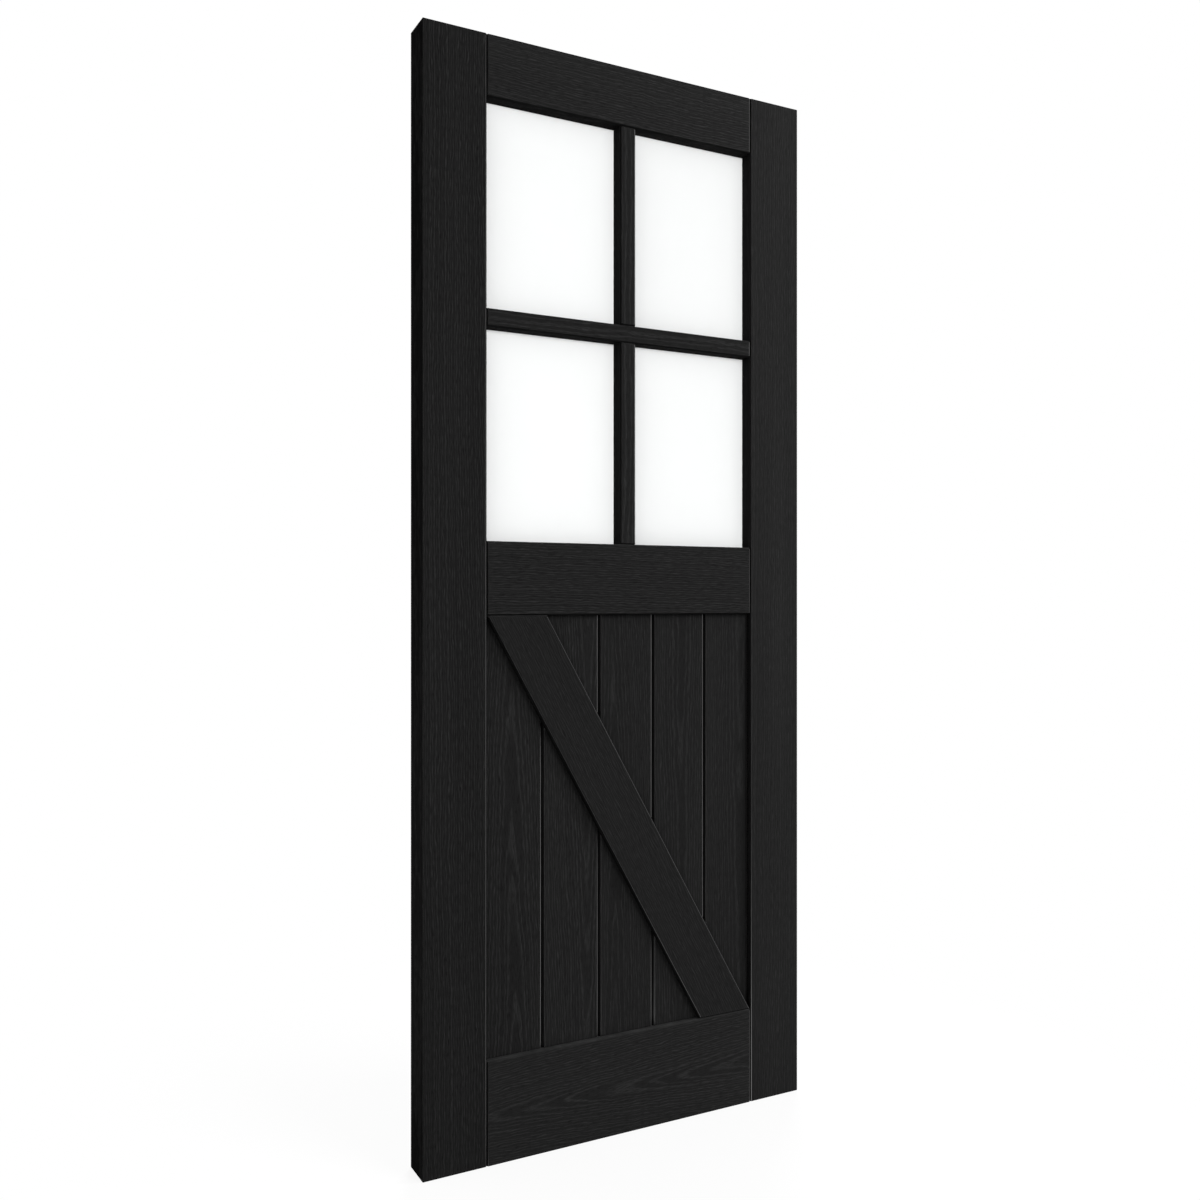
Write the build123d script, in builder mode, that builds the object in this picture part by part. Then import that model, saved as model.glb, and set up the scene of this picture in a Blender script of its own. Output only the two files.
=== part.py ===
from build123d import *
from math import asin, atan2, cos, hypot
import os

os.makedirs("parts", exist_ok=True)

# A framed, glazed and braced barn door leaf, in millimetres. Seen from the front, x runs from
# the lock edge on the left to the hinge edge at x = 0, y from the front face to the back face
# with the middle of the thickness at y = 0, and z up from the foot of the leaf at z = 0.
leaf_width = 813
leaf_height = 2032
leaf_thickness = 64

# Frame of two stiles and three rails, tenoned together and V-jointed on both faces
lock_stile_width = 121
hinge_stile_width = 118
top_rail_height = 112
lock_rail_height = 134
bottom_rail_height = 188
panel_height = 800
arris_chamfer = 2.5
tenon_thickness = 18
rail_tenon_length = 70
tenon_haunch = 20
tenon_end_gap = 1

# Glazing: a cross of bars and four panes, put in from the back and held by mitred beads
rebate_width = 10
bar_stem_width = 13
bar_tenon_length = 12
cross_rise = 3
cross_shift = 3.5
glass_thickness = 4
glass_edge_clearance = 3
bead_chamfer = 1

# Panel of tongued and grooved boards, with a brace planted on each face
panel_recess = 12
first_board_width = 115
board_cover_width = 118.5
board_chamfer = 4
board_tongue_thickness = 10
board_tongue_length = 8
panel_tongue_thickness = 15
panel_tongue_length = 12
groove_clearance = 0.3
brace_width = 105

# Lines of the elevation and of the thickness
lock_edge = -leaf_width
hinge_edge = 0
lock_shoulder = lock_edge + lock_stile_width
hinge_shoulder = hinge_edge - hinge_stile_width
panel_foot = bottom_rail_height
panel_head = panel_foot + panel_height
glazing_foot = panel_head + lock_rail_height
glazing_head = leaf_height - top_rail_height
cross_x = (lock_shoulder + hinge_shoulder) / 2 + cross_shift
cross_z = (glazing_foot + glazing_head) / 2 + cross_rise
half_stem = bar_stem_width / 2
half_bar = half_stem + rebate_width
front_face = -leaf_thickness / 2
back_face = leaf_thickness / 2
glass_front = -glass_thickness / 2
glass_back = glass_thickness / 2


def elevation_plane(y):
    """The plane of the leaf's elevation at a given depth: its own x and y are the leaf's x and z."""
    return Plane(origin=(0, y, 0), x_dir=(1, 0, 0), z_dir=(0, -1, 0))


def rectangle_between(x0, x1, y0, y1):
    """A rectangle of the open sketch, between two lines each way."""
    with Locations(((x0 + x1) / 2, (y0 + y1) / 2)):
        Rectangle(x1 - x0, y1 - y0)


def block(x0, x1, z0, z1, y0, y1, mode=Mode.ADD):
    """A piece of the elevation, carried through from depth y0 to depth y1."""
    with BuildSketch(elevation_plane(y1)) as outline:
        rectangle_between(x0, x1, z0, z1)
    extrude(outline.sketch, amount=y1 - y0, mode=mode)


def is_inside_outline(edge):
    """True for an edge that isn't on the leaf's own outline, where arrises stay sharp."""
    middle = edge.center()
    return lock_edge < middle.X < hinge_edge and 0 < middle.Z < leaf_height


def ease_arrises(faces):
    """Chamfer the arrises of a member's faces, all but those on the leaf's outline."""
    chamfer(faces.edges().filter_by(is_inside_outline), arris_chamfer)


def rail_tenons(foot, head, end_gap=0, mode=Mode.ADD):
    """The tenons at both ends of a rail, or with an end gap the mortises that take them."""
    reach = rail_tenon_length + end_gap
    block(lock_shoulder - reach, hinge_shoulder + reach, foot + tenon_haunch, head - tenon_haunch,
          -tenon_thickness / 2, tenon_thickness / 2, mode)


def cross_bar_tenons(end_gap=0, mode=Mode.ADD):
    """The stub tenons of the horizontal bar, or with an end gap their mortises."""
    reach = rebate_width + bar_tenon_length + end_gap
    block(lock_shoulder - reach, hinge_shoulder + reach, cross_z - half_stem, cross_z + half_stem,
          -tenon_thickness / 2, tenon_thickness / 2, mode)


def upright_bar_tenons(foot, head, end_gap=0, mode=Mode.ADD):
    """The stub tenon at the rail end of an upright bar, or with an end gap its mortise."""
    block(cross_x - half_stem, cross_x + half_stem, foot - end_gap, head + end_gap,
          -tenon_thickness / 2, tenon_thickness / 2, mode)


def cut_glazing_rebate():
    """The rebate for glass and beads, open to the back, all round the glazed opening."""
    block(lock_shoulder - rebate_width, hinge_shoulder + rebate_width,
          glazing_foot - rebate_width, glazing_head + rebate_width,
          glass_front, back_face, Mode.SUBTRACT)


def cut_panel_groove():
    """The groove that takes the tongues of the boards, all round the panel opening."""
    reach = panel_tongue_length + tenon_end_gap
    half_groove = panel_tongue_thickness / 2 + groove_clearance
    block(lock_shoulder - reach, hinge_shoulder + reach, panel_foot - reach, panel_head + reach,
          -half_groove, half_groove, Mode.SUBTRACT)


def finish_piece(piece, name):
    """Label a finished piece and write it under its own name."""
    piece.part.label = name
    export_step(piece.part, f"parts/{name}.step")


# Rails as (foot, head), from the bottom up
bottom_rail_lines = (0, panel_foot)
lock_rail_lines = (panel_head, glazing_foot)
top_rail_lines = (glazing_head, leaf_height)

# Upright bars reach through the rebate of their rail by a stub tenon
upper_tenon_lines = (glazing_head, glazing_head + rebate_width + bar_tenon_length)
lower_tenon_lines = (glazing_foot - rebate_width - bar_tenon_length, glazing_foot)

# Stiles: full height, rebated for the glass, grooved for the boards and mortised for rails and bar
stile_lines = {
    "lock_stile": (lock_edge, lock_shoulder),
    "hinge_stile": (hinge_shoulder, hinge_edge),
}

for name, (x0, x1) in stile_lines.items():
    with BuildPart() as stile:
        block(x0, x1, 0, leaf_height, front_face, back_face)
        ease_arrises(stile.faces().filter_by(Axis.Y))
        cut_glazing_rebate()
        cut_panel_groove()
        for foot, head in (bottom_rail_lines, lock_rail_lines, top_rail_lines):
            rail_tenons(foot, head, tenon_end_gap, Mode.SUBTRACT)
        cross_bar_tenons(tenon_end_gap, Mode.SUBTRACT)
    finish_piece(stile, name)

# Rails: shouldered between the stiles, with a haunched tenon at each end
with BuildPart() as bottom_rail:
    block(lock_shoulder, hinge_shoulder, *bottom_rail_lines, front_face, back_face)
    ease_arrises(bottom_rail.faces().filter_by(Axis.Y))
    cut_panel_groove()
    rail_tenons(*bottom_rail_lines)
finish_piece(bottom_rail, "bottom_rail")

with BuildPart() as lock_rail:
    block(lock_shoulder, hinge_shoulder, *lock_rail_lines, front_face, back_face)
    ease_arrises(lock_rail.faces().filter_by(Axis.Y))
    cut_panel_groove()
    cut_glazing_rebate()
    rail_tenons(*lock_rail_lines)
    upright_bar_tenons(*lower_tenon_lines, tenon_end_gap, Mode.SUBTRACT)
finish_piece(lock_rail, "lock_rail")

with BuildPart() as top_rail:
    block(lock_shoulder, hinge_shoulder, *top_rail_lines, front_face, back_face)
    ease_arrises(top_rail.faces().filter_by(Axis.Y))
    cut_glazing_rebate()
    rail_tenons(*top_rail_lines)
    upright_bar_tenons(*upper_tenon_lines, tenon_end_gap, Mode.SUBTRACT)
finish_piece(top_rail, "top_rail")

# Horizontal glazing bar: T-shaped in section, its stem scribed into the stiles' rebates
with BuildPart() as horizontal_bar:
    block(lock_shoulder, hinge_shoulder, cross_z - half_bar, cross_z + half_bar, front_face, glass_front)
    ease_arrises(horizontal_bar.faces().sort_by(Axis.Y)[:1])
    block(lock_shoulder - rebate_width, hinge_shoulder + rebate_width,
          cross_z - half_stem, cross_z + half_stem, glass_front, back_face)
    cross_bar_tenons()
finish_piece(horizontal_bar, "horizontal_glazing_bar")

# Upright glazing bars: the same section, butted on the horizontal bar and tenoned into the rails
with BuildPart() as upper_bar:
    block(cross_x - half_bar, cross_x + half_bar, cross_z + half_bar, glazing_head, front_face, glass_front)
    ease_arrises(upper_bar.faces().sort_by(Axis.Y)[:1])
    block(cross_x - half_stem, cross_x + half_stem, cross_z + half_stem, glazing_head + rebate_width,
          glass_front, back_face)
    upright_bar_tenons(*upper_tenon_lines)
finish_piece(upper_bar, "upper_glazing_bar")

with BuildPart() as lower_bar:
    block(cross_x - half_bar, cross_x + half_bar, glazing_foot, cross_z - half_bar, front_face, glass_front)
    ease_arrises(lower_bar.faces().sort_by(Axis.Y)[:1])
    block(cross_x - half_stem, cross_x + half_stem, glazing_foot - rebate_width, cross_z - half_stem,
          glass_front, back_face)
    upright_bar_tenons(*lower_tenon_lines)
finish_piece(lower_bar, "lower_glazing_bar")

# Panes, each bedded against the rebate, and the four mitred beads that hold it from the back
left_lines = (lock_shoulder, cross_x - half_bar)
right_lines = (cross_x + half_bar, hinge_shoulder)
upper_lines = (cross_z + half_bar, glazing_head)
lower_lines = (glazing_foot, cross_z - half_bar)
pane_lines = {
    "upper_left": (*left_lines, *upper_lines),
    "upper_right": (*right_lines, *upper_lines),
    "lower_left": (*left_lines, *lower_lines),
    "lower_right": (*right_lines, *lower_lines),
}

for place, (x0, x1, z0, z1) in pane_lines.items():
    cover = rebate_width - glass_edge_clearance
    with BuildPart() as pane:
        block(x0 - cover, x1 + cover, z0 - cover, z1 + cover, glass_front, glass_back)
    finish_piece(pane, f"{place}_pane")

    # Corners of the sight line and of the rebate, anticlockwise from the lower left
    inner = [(x0, z0), (x1, z0), (x1, z1), (x0, z1)]
    outer = [
        (x0 - rebate_width, z0 - rebate_width),
        (x1 + rebate_width, z0 - rebate_width),
        (x1 + rebate_width, z1 + rebate_width),
        (x0 - rebate_width, z1 + rebate_width),
    ]
    for side, edge_name in enumerate(("bottom", "right", "top", "left")):
        following = (side + 1) % len(inner)
        with BuildPart() as bead:
            with BuildSketch(elevation_plane(back_face)) as bead_outline:
                with BuildLine():
                    Polyline(outer[side], outer[following], inner[following], inner[side], close=True)
                make_face()
            extrude(amount=back_face - glass_back)
            along = Axis.X if edge_name in ("bottom", "top") else Axis.Z
            arrises = bead.faces().sort_by(Axis.Y)[-1].edges().filter_by(along).sort_by(SortBy.LENGTH)
            chamfer(arrises[0], arris_chamfer)
            arrises = bead.faces().sort_by(Axis.Y)[-1].edges().filter_by(along).sort_by(SortBy.LENGTH)
            chamfer(arrises[-1], bead_chamfer)
        finish_piece(bead, f"{place}_{edge_name}_bead")

# Boards: all of one cover width but the first, trimmed at the lock stile, and the last, cut to the
# hinge stile. They are V-jointed on both faces and tongued into the frame all round.
panel_width = hinge_shoulder - lock_shoulder
panel_half = leaf_thickness / 2 - panel_recess
board_count = round(panel_width / board_cover_width)
first_joint = lock_shoulder + first_board_width
between_boards = [first_joint + board_cover_width * n for n in range(board_count - 1)]
joints = [lock_shoulder, *between_boards, hinge_shoulder]
half_panel_tongue = panel_tongue_thickness / 2
half_board_tongue = board_tongue_thickness / 2
half_board_groove = half_board_tongue + groove_clearance
board_groove_length = board_tongue_length + tenon_end_gap

for number in range(1, board_count + 1):
    x0, x1 = joints[number - 1], joints[number]
    is_first = number == 1
    is_last = number == board_count
    tongue_foot = panel_foot - panel_tongue_length
    tongue_height = panel_height + 2 * panel_tongue_length
    with BuildPart() as board:
        with BuildSketch(Plane.XY.offset(panel_foot)) as section:
            rectangle_between(x0, x1, -panel_half, panel_half)
            jointed = section.vertices()
            if is_first:
                jointed = jointed.group_by(Axis.X)[-1]
            if is_last:
                jointed = jointed.group_by(Axis.X)[0]
            chamfer(jointed, board_chamfer)
        extrude(amount=panel_height)
        with BuildSketch(Plane.XY.offset(tongue_foot)) as tongues:
            left_reach = panel_tongue_length if is_first else 0
            right_reach = panel_tongue_length if is_last else 0
            rectangle_between(x0 - left_reach, x1 + right_reach, -half_panel_tongue, half_panel_tongue)
            if not is_last:
                rectangle_between(x1, x1 + board_tongue_length, -half_board_tongue, half_board_tongue)
        extrude(amount=tongue_height)
        if not is_first:
            with BuildSketch(Plane.XY.offset(tongue_foot)) as groove:
                rectangle_between(x0, x0 + board_groove_length, -half_board_groove, half_board_groove)
            extrude(amount=tongue_height, mode=Mode.SUBTRACT)
    finish_piece(board, f"board_{number}")

# Braces: from the head of the lock stile down to the foot of the hinge stile, level cuts at both
# ends. The edges of a strip of this width go through the two corners of the opening.
diagonal = hypot(panel_width, panel_height)
lean = atan2(panel_width, panel_height) - asin(brace_width / diagonal)
cut_run = brace_width / cos(lean)

with BuildPart() as front_brace:
    with BuildSketch(elevation_plane(front_face)) as brace_outline:
        with BuildLine():
            Polyline(
                (lock_shoulder, panel_head),
                (hinge_shoulder - cut_run, panel_foot),
                (hinge_shoulder, panel_foot),
                (lock_shoulder + cut_run, panel_head),
                close=True,
            )
        make_face()
    extrude(amount=-panel_recess)
    ease_arrises(front_brace.faces().sort_by(Axis.Y)[:1])
finish_piece(front_brace, "front_brace")

with BuildPart() as back_brace:
    mirror(front_brace.part, about=Plane.XZ)
finish_piece(back_brace, "back_brace")
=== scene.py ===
import bpy
from math import asin, atan2, cos, hypot, pi, radians, sin
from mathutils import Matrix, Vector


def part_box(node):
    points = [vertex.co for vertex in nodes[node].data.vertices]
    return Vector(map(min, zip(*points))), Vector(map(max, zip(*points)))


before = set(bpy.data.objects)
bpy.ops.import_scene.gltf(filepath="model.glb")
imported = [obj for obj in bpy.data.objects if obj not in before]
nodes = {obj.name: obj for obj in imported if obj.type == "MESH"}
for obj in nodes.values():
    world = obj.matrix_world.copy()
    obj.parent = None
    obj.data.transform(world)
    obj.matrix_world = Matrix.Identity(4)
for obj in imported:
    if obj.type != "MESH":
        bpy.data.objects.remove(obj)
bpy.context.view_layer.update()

# Stiles: the two uprights of the leaf, full height, sawn from straight-grained ash.
# They are planed, brushed to open the grain, stained black and left with a low sheen,
# and their arrises are eased with fine paper before the stain goes on.


class Shade:
    """One socket of a material. Sums, differences, products and powers of shades are Math nodes."""

    def __init__(self, tree, socket=None):
        self.tree = tree
        self.socket = socket

    def node(self, kind, settings=None, sockets=None, output=0):
        """Any other node: its settings are set first, then the values or links of its sockets."""
        made = self.tree.nodes.new(kind)
        for setting, value in (settings or {}).items():
            setattr(made, setting, value)
        for place, value in (sockets or {}).items():
            if isinstance(value, Shade):
                self.tree.links.new(value.socket, made.inputs[place])
            else:
                made.inputs[place].default_value = value
        return Shade(self.tree, made.outputs[output])

    def maths(self, operation, other=0.0, turned=False):
        pair = (other, self) if turned else (self, other)
        return self.node("ShaderNodeMath", {"operation": operation}, {0: pair[0], 1: pair[1]})

    def __add__(self, other):
        return self.maths("ADD", other)

    def __radd__(self, other):
        return self.maths("ADD", other, turned=True)

    def __sub__(self, other):
        return self.maths("SUBTRACT", other)

    def __rsub__(self, other):
        return self.maths("SUBTRACT", other, turned=True)

    def __mul__(self, other):
        return self.maths("MULTIPLY", other)

    def __rmul__(self, other):
        return self.maths("MULTIPLY", other, turned=True)

    def __pow__(self, other):
        return self.maths("POWER", other)

    def part(self, axis):
        """One axis of a place or a direction."""
        return self.node("ShaderNodeSeparateXYZ", None, {"Vector": self}, axis)

    def step(self, low, high):
        """0 below low, 1 above high, and smooth between them."""
        return self.node("ShaderNodeMapRange", {"interpolation_type": "SMOOTHSTEP"},
                         {"Value": self, "From Min": low, "From Max": high})

    def stretched_noise(self, across, along, detail=1.0):
        """Noise on grain coordinates, in patches of this size across and along the grain, in metres."""
        cells = self.node("ShaderNodeVectorMath", {"operation": "MULTIPLY"},
                          {0: self, 1: (1 / across, 1 / across, 1 / along)})
        return self.node("ShaderNodeTexNoise", None, {"Vector": cells, "Scale": 1.0, "Detail": detail})


def stained_timber(name, turn, heart, taper, seed, figure=1.0, paleness=0.0121, growth=0.0046):
    """Black stained ash with open grain. The turn about y brings the grain upright. The heart is the
    middle of the log the piece was cut from, across the grain and in depth. The log tapers by this
    much for each metre along, which makes the rings run out on the face in long arches. The seed
    picks the stretch of the log, and the figure is how strongly its grain shows. The paleness is what
    the stained wood between the rings reflects on a brushed face, and the growth is the distance from
    ring to ring."""
    material = bpy.data.materials.new(name)
    material.use_nodes = True
    tree = material.node_tree
    surface = tree.nodes["Principled BSDF"]
    start = Shade(tree)
    leaf_place = start.node("ShaderNodeTexCoord", output="Object")
    grain = start.node("ShaderNodeMapping", None, {
        "Vector": leaf_place, "Rotation": (0, turn, 0), "Location": (-heart[0], -heart[1], seed)})
    across = grain.part("X")
    depth = grain.part("Y")
    along = grain.part("Z")

    # Growth rings, wandering a little as the log did, set unevenly as its years were
    wander = 0.03 * (grain.stretched_noise(0.15, 0.6) - 0.5)
    waver = 0.004 * (grain.stretched_noise(0.02, 0.09) - 0.5)
    ripple = 0.006 * (grain.stretched_noise(0.010, 0.035) - 0.5)
    off_heart = across + wander + ripple
    radius = (off_heart ** 2.0 + depth ** 2.0) ** 0.5 + taper * along + waver
    good_years = start.node("ShaderNodeTexNoise", {"noise_dimensions": "1D"},
                            {"W": radius * 120.0, "Scale": 1.0})
    year = (radius * (1 / growth) + 1.2 * good_years).maths("FRACT")

    # Brushing leaves the hard late wood of each year proud, as lines of short fine fibres
    late_wood = 1 - (year - 0.5).maths("ABSOLUTE").step(0.04, 0.28)
    aside = start.node("ShaderNodeCombineXYZ", None, {"X": ripple})
    combed = start.node("ShaderNodeVectorMath", {"operation": "ADD"}, {0: grain, 1: aside})
    fibres = combed.stretched_noise(0.0010, 0.018, 0.0).step(0.36, 0.66)
    ridges = 0.2 * fibres + 0.8 * late_wood * (0.35 + 0.65 * fibres)
    pores = combed.stretched_noise(0.0008, 0.012, 0.0).step(0.58, 0.72)
    tones = grain.stretched_noise(0.06, 0.7) - 0.5

    # Only the two faces are brushed. Edges, reveals, chamfers and the V-grooves are painted darker: partly
    # the denser stain they keep, partly painted shade where little light reaches. Handling polishes the
    # upright arrises of the faces, the level ones stay dull, and what faces up is painted lighter: partly
    # dust, partly painted light falling from above.
    facing = start.node("ShaderNodeTexCoord", output="Normal")
    upward = facing.part("Z")
    tilt = upward.maths("ABSOLUTE")
    frontness = facing.part("Y").maths("ABSOLUTE")
    # The mask below is 1 on the brushed faces. Where it falls off, on edges, chamfers and groove walls,
    # shade is painted into the colour.
    brushed_outside_painted_shade = frontness.step(0.85, 0.98)
    arrises = frontness.step(0.72, 0.80) * (1 - frontness.step(0.96, 0.995))
    polish = 0.95 * arrises * (1 - tilt.step(0.0, 0.30))
    # Upward faces painted lighter: partly dust, partly painted light falling from above.
    dust_and_painted_top_light = upward.step(0.45, 0.95) * (0.4 + 1.2 * grain.stretched_noise(0.02, 0.03, 3.0))

    shade = paleness * (1 + 1.15 * figure * ridges + 0.3 * tones) * (1 - 0.3 * figure * pores)
    # Painted shade on edges and chamfers, and painted light with dust on upward faces, go into the colour
    # here.
    shade = shade * (0.48 + 0.52 * brushed_outside_painted_shade) + 0.025 * dust_and_painted_top_light
    dullness = 0.5 - 0.05 * ridges + 0.15 * pores + 0.1 * tones + 0.25 * dust_and_painted_top_light
    relief = figure * ridges - 0.5 * figure * pores
    bumps = start.node("ShaderNodeBump", None, {"Height": relief, "Distance": 0.0003, "Strength": 1.0})
    tree.links.new(shade.socket, surface.inputs["Base Color"])
    tree.links.new(dullness.socket, surface.inputs["Roughness"])
    tree.links.new(bumps.socket, surface.inputs["Normal"])
    tree.links.new(polish.socket, surface.inputs["Coat Weight"])
    surface.inputs["Coat Roughness"].default_value = 0.36
    surface.inputs["Coat IOR"].default_value = 2.4
    surface.inputs["Specular IOR Level"].default_value = 0.0015
    return material


def dress(node, material):
    """Give a piece its material and ease its arrises, as sanding leaves them."""
    piece = nodes[node]
    piece.data.materials.clear()
    piece.data.materials.append(material)
    weld = piece.modifiers.new("closed skin", "WELD")
    weld.merge_threshold = 0.00001
    whole = piece.modifiers.new("whole faces", "DECIMATE")
    whole.decimate_type = "DISSOLVE"
    whole.angle_limit = radians(1)
    eased = piece.modifiers.new("eased arrises", "BEVEL")
    eased.width = 0.0012
    eased.segments = 3
    eased.limit_method = "ANGLE"
    eased.angle_limit = radians(30)
    eased.harden_normals = True


upright = 0.0
level = pi / 2

# The hinge stile's stain is paler than the lock stile's. This is partly painted light: the right side is
# made lighter, as the lamps light it more.
dress("lock_stile", stained_timber(
    "lock_stile_ash", upright, heart=(-1.10, 0.0), taper=0.006, seed=2.6, figure=1.0, paleness=0.0104))
dress("hinge_stile", stained_timber(
    "hinge_stile_ash", upright, heart=(-0.35, 0.05), taper=-0.008, seed=4.1, figure=0.6, paleness=0.0134))

# Rails: the top, lock and bottom rails, shouldered between the stiles and tenoned into them.
# The same ash with the grain level; the wide bottom rail is flat sawn and shows arches.
dress("top_rail", stained_timber(
    "top_rail_ash", level, heart=(2.10, 0.0), taper=0.012, seed=2.2, figure=1.0, paleness=0.0130))
dress("lock_rail", stained_timber(
    "lock_rail_ash", level, heart=(0.93, -0.03), taper=-0.012, seed=7.4, figure=0.95))
dress("bottom_rail", stained_timber(
    "bottom_rail_ash", level, heart=(0.085, 0.0), taper=0.045, seed=5.6, figure=0.92,
    paleness=0.0139, growth=0.0038))

# Glazing bars: a cross of slender ash bars, T-shaped in section, with the glass bedded behind their
# face. The level bar runs through and the two upright ones are scribed to it and to the rails.
level_bar_ash = stained_timber("level_bar_ash", level, heart=(1.46, 0.10), taper=0.006, seed=9.2)
upright_bar_ash = stained_timber("upright_bar_ash", upright, heart=(-0.33, 0.12), taper=0.005, seed=3.7)
dress("horizontal_glazing_bar", level_bar_ash)
dress("upper_glazing_bar", upright_bar_ash)
dress("lower_glazing_bar", upright_bar_ash)

# Panes: four sheets of satin white glass, 4 mm thick, etched on both faces so that nothing shows
# through. Each is bedded against its rebate from the back, and a little dust stays along its edges.
pane_names = [node for node in nodes if node.endswith("_pane")]
etched_white = (0.915, 0.925, 0.922)
for node in pane_names:
    low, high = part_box(node)
    satin = bpy.data.materials.new(f"{node}_satin_glass")
    satin.use_nodes = True
    pane_tree = satin.node_tree
    etched = pane_tree.nodes["Principled BSDF"]
    bare = Shade(pane_tree)
    pane_place = bare.node("ShaderNodeTexCoord", output="Object")
    to_side = (high[0] - low[0]) / 2 - (pane_place.part("X") - (low[0] + high[0]) / 2).maths("ABSOLUTE")
    to_end = (high[2] - low[2]) / 2 - (pane_place.part("Z") - (low[2] + high[2]) / 2).maths("ABSOLUTE")
    smears = pane_place.stretched_noise(0.05, 0.09, 2.0) - 0.5
    frost = pane_place.stretched_noise(0.0006, 0.0006)
    edge_dust = 1 - (to_side.maths("MINIMUM", to_end) + 0.004 * smears).step(0.010, 0.018)
    tone = 1.0 + 0.012 * smears + 0.006 * frost - 0.008 * edge_dust
    white_glass = bare.node("ShaderNodeVectorMath", {"operation": "SCALE"}, {0: etched_white, "Scale": tone})
    dullness = 0.38 + 0.10 * smears + 0.08 * frost + 0.2 * edge_dust
    pits = bare.node("ShaderNodeBump", None, {"Height": frost, "Distance": 0.00003, "Strength": 1.0})
    pane_tree.links.new(white_glass.socket, etched.inputs["Base Color"])
    pane_tree.links.new(dullness.socket, etched.inputs["Roughness"])
    pane_tree.links.new(pits.socket, etched.inputs["Normal"])
    nodes[node].data.materials.clear()
    nodes[node].data.materials.append(satin)

# Glazing beads: four ash strips to a pane, mitred at the corners and pinned into the rebates on the
# back of the leaf, where they hold the glass.
level_bead_ash = stained_timber("level_bead_ash", level, heart=(1.30, 0.14), taper=0.01, seed=6.6)
upright_bead_ash = stained_timber("upright_bead_ash", upright, heart=(-0.50, 0.14), taper=0.008, seed=8.3)
for node in nodes:
    if node.endswith(("_top_bead", "_bottom_bead")):
        dress(node, level_bead_ash)
    elif node.endswith("_bead"):
        dress(node, upright_bead_ash)

# Boards: five ash uprights that fill the lower half, tongued and grooved, V-jointed on both faces and
# housed in the frame. Each is from another log, so its heart, taper and figure are its own.
board_names = sorted(node for node in nodes if node.startswith("board_"))
for number, node in enumerate(board_names):
    low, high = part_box(node)
    board_middle = (low[0] + high[0]) / 2
    heart_aside = 0.035 * sin(2.1 * number)
    heart_depth = 0.01 * cos(1.7 * number)
    dress(node, stained_timber(
        f"{node}_ash", upright, heart=(board_middle + heart_aside, heart_depth),
        taper=0.03 * cos(2.6 * number + 0.4), seed=1.7 * number + 0.6, figure=0.88 - 0.06 * number))

# Braces: one planted on each face of the boards, from the head of the lock stile to the foot of the
# hinge stile, level cuts against the rails. The grain runs along the brace.
brace_low, brace_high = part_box("front_brace")
brace_width = 0.105
run = brace_high[0] - brace_low[0]
rise = brace_high[2] - brace_low[2]
lean = atan2(run, rise) - asin(brace_width / hypot(run, rise))
brace_middle = ((brace_low[0] + brace_high[0]) / 2, (brace_low[2] + brace_high[2]) / 2)
brace_line = brace_middle[0] * cos(lean) + brace_middle[1] * sin(lean)
heart_off_line = 0.16
for side, node in ((-1, "front_brace"), (1, "back_brace")):
    dress(node, stained_timber(
        f"{node}_ash", lean, heart=(brace_line + heart_off_line * side, 0.03 * side),
        taper=0.04 * side, seed=3.1 + side, figure=0.65))

# Floor: a plain pale studio floor, all but white to the camera, with the soft shadow of the leaf on it.
# The polished arrises mirror it as white on the hinge side and as dark on the lock side.
leaf_middle = (-0.41, 0.0, 1.02)
bpy.ops.object.select_all(action="DESELECT")
bpy.ops.mesh.primitive_plane_add(size=40, location=(0, 0, 0))
floor = bpy.context.object
floor.name = "floor"
floor_paint = bpy.data.materials.new("pale_floor")
floor_paint.use_nodes = True
floor_tree = floor_paint.node_tree
floor_surface = floor_tree.nodes["Principled BSDF"]
floor_surface.inputs["Roughness"].default_value = 0.9
floor_surface.inputs["Specular IOR Level"].default_value = 0.0
floor_start = Shade(floor_tree)
seen = floor_start.node("ShaderNodeLightPath", output="Is Camera Ray")
seen_through_glass = floor_start.node("ShaderNodeLightPath", output="Is Transmission Ray")
in_sight = seen.maths("MAXIMUM", seen_through_glass)
mirrored = floor_start.node("ShaderNodeLightPath", output="Is Glossy Ray")
floor_pale = 0.5 + 0.45 * in_sight - 0.45 * mirrored
floor_tree.links.new(floor_pale.socket, floor_surface.inputs["Base Color"])
floor_place = floor_start.node("ShaderNodeTexCoord", output="Object")
from_leaf = floor_start.node("ShaderNodeVectorMath", {"operation": "DISTANCE"},
                             {0: floor_place, 1: (leaf_middle[0], 0.0, 0.0)}, "Value")
to_hinge_side = floor_start.node("ShaderNodeVectorMath", {"operation": "DOT_PRODUCT"},
                                 {0: floor_place, 1: (0.903, 0.430, 0.0)}, "Value")
white_in_mirror = mirrored * to_hinge_side.step(-0.69, -0.54)
white_in_sight = in_sight * (0.88 + 0.12 * from_leaf.step(0.5, 1.2))
white = floor_start.node("ShaderNodeEmission", None, {"Color": (1, 1, 1, 1), "Strength": 1.0})
mixed = floor_start.node("ShaderNodeMixShader", None, {
    "Fac": white_in_mirror + white_in_sight, 1: Shade(floor_tree, floor_surface.outputs[0]), 2: white})
floor_tree.links.new(mixed.socket, floor_tree.nodes["Material Output"].inputs["Surface"])
floor.data.materials.append(floor_paint)

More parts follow.
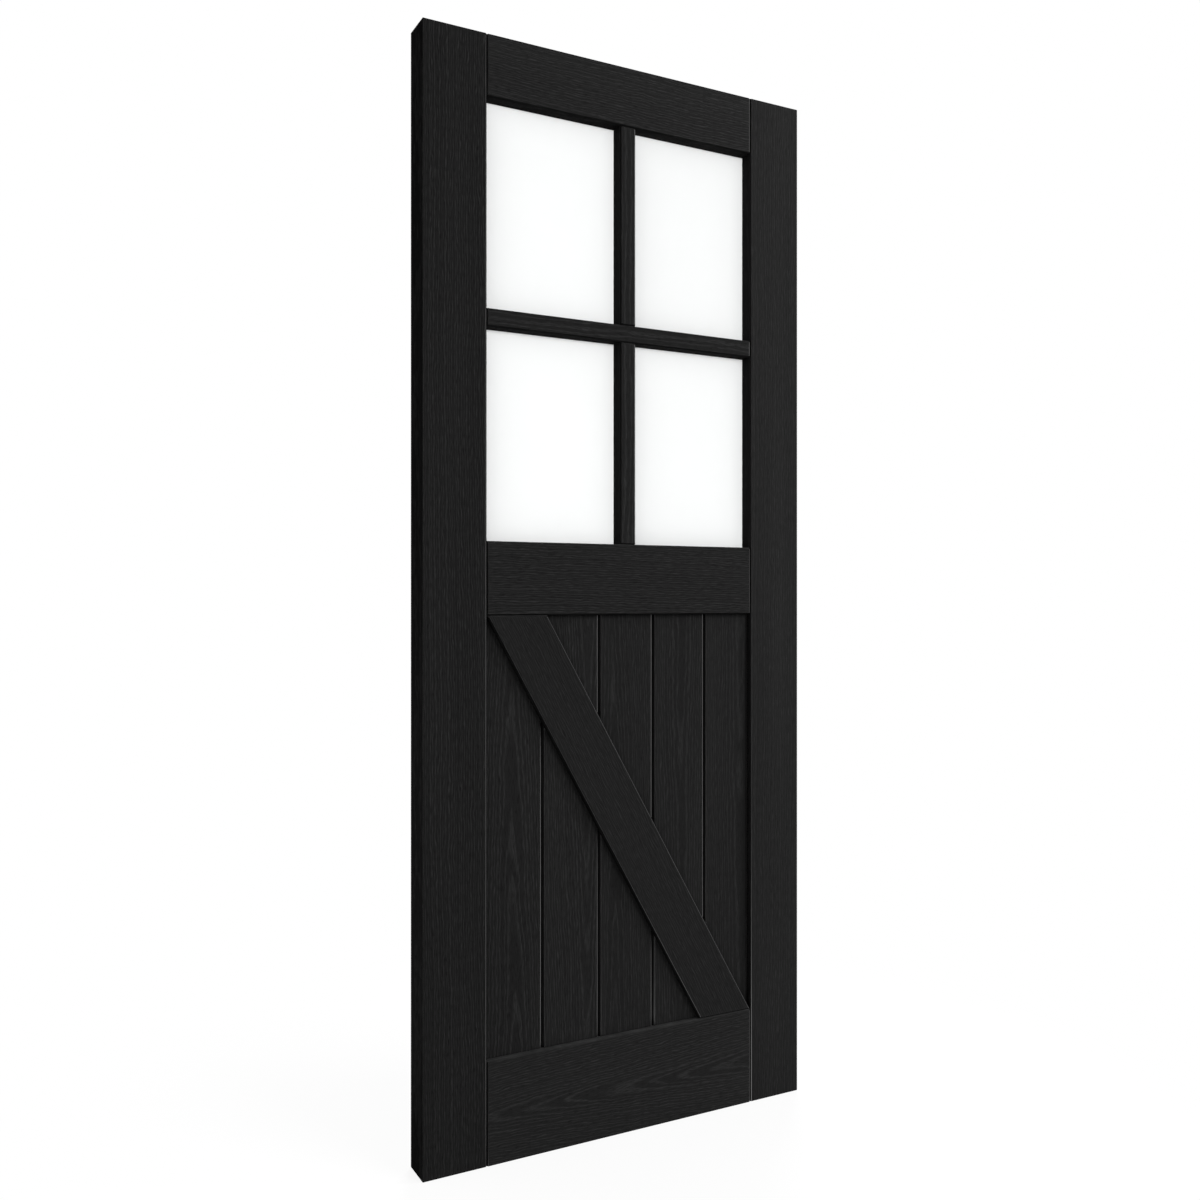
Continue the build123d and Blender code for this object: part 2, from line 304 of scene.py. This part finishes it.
# Studio: a dim room, white to the camera, with a soft bright wall on the left that lights the lock edge
# and a white wall on the right that only the polished arrises mirror. A large lamp stands high to the
# front right, another behind, a strip by the hinge edge, and one lights the panes alone.
world = bpy.data.worlds.new("studio")
bpy.context.scene.world = world
world.use_nodes = True
room = Shade(world.node_tree)
background = world.node_tree.nodes["Background"]
background.inputs["Color"].default_value = (1, 1, 1, 1)
way_out = room.node("ShaderNodeTexCoord", output="Generated")
to_right_wall = room.node("ShaderNodeVectorMath", {"operation": "DOT_PRODUCT"},
                          {0: way_out, 1: (0.906, -0.423, 0.0)}, "Value")
wall_in_view = room.node("ShaderNodeLightPath", output="Is Camera Ray")
wall_through_glass = room.node("ShaderNodeLightPath", output="Is Transmission Ray")
wall_in_sight = wall_in_view.maths("MAXIMUM", wall_through_glass)
wall_in_mirror = room.node("ShaderNodeLightPath", output="Is Glossy Ray")
lit_room = 0.16 + 1.6 * (1 - way_out.part("X").step(-0.85, -0.25))
mirrored_room = 0.02 + 1.05 * to_right_wall.step(0.80, 0.92)
brightness = (1 - wall_in_mirror) * lit_room + wall_in_mirror * mirrored_room
brightness = (1 - wall_in_sight) * brightness + wall_in_sight
world.node_tree.links.new(brightness.socket, background.inputs["Strength"])


def soft_lamp(name, azimuth, height, distance, size, watts):
    """A soft lamp of this width and height, aimed at the middle of the leaf from this azimuth to the
    right of the front and this height above the level, both in degrees."""
    lamp = bpy.data.lights.new(name, "AREA")
    lamp.shape = "RECTANGLE"
    lamp.size = size[0]
    lamp.size_y = size[1]
    lamp.energy = watts
    stand = bpy.data.objects.new(name, lamp)
    bpy.context.collection.objects.link(stand)
    turn = radians(azimuth)
    tilt = radians(height)
    reach = distance * cos(tilt)
    stand.location = (leaf_middle[0] + reach * sin(turn), -reach * cos(turn),
                      leaf_middle[2] + distance * sin(tilt))
    stand.rotation_euler = (pi / 2 - tilt, 0, turn)
    return stand


key_lamp = soft_lamp("key lamp", azimuth=30, height=27, distance=25.0, size=(12.0, 12.0), watts=3550)
back_lamp = soft_lamp("back lamp", azimuth=148, height=32, distance=25.0, size=(12.0, 12.0), watts=5200)
strip_lamp = soft_lamp("strip lamp", azimuth=62, height=25, distance=2.2, size=(0.5, 2.4), watts=36)
pane_lamp = soft_lamp("pane lamp", azimuth=-14, height=5, distance=7.0, size=(2.2, 2.2), watts=318)
glazing = bpy.data.collections.new("glazing")
off_glazing = bpy.data.collections.new("off_glazing")
for node in pane_names:
    glazing.objects.link(nodes[node])
    off_glazing.objects.link(nodes[node])
for member in off_glazing.collection_objects:
    member.light_linking.link_state = "EXCLUDE"
pane_lamp.light_linking.receiver_collection = glazing
for lamp in (key_lamp, strip_lamp):
    lamp.light_linking.receiver_collection = off_glazing
for lamp in (key_lamp, strip_lamp, back_lamp):
    lamp.visible_glossy = False

# Camera: level, at half the height of the leaf, out to the left of its lock edge and turned to the
# right, so that the lock edge and the front both show.
lens = bpy.data.cameras.new("camera")
lens.sensor_width = 36
lens.lens = 34.70
camera = bpy.data.objects.new("camera", lens)
bpy.context.collection.objects.link(camera)
camera.location = (-1.486, -1.9575, 1.016)
camera.rotation_euler = (pi / 2, 0, -radians(27.98))
bpy.context.scene.camera = camera
bpy.context.scene.view_settings.view_transform = "Standard"
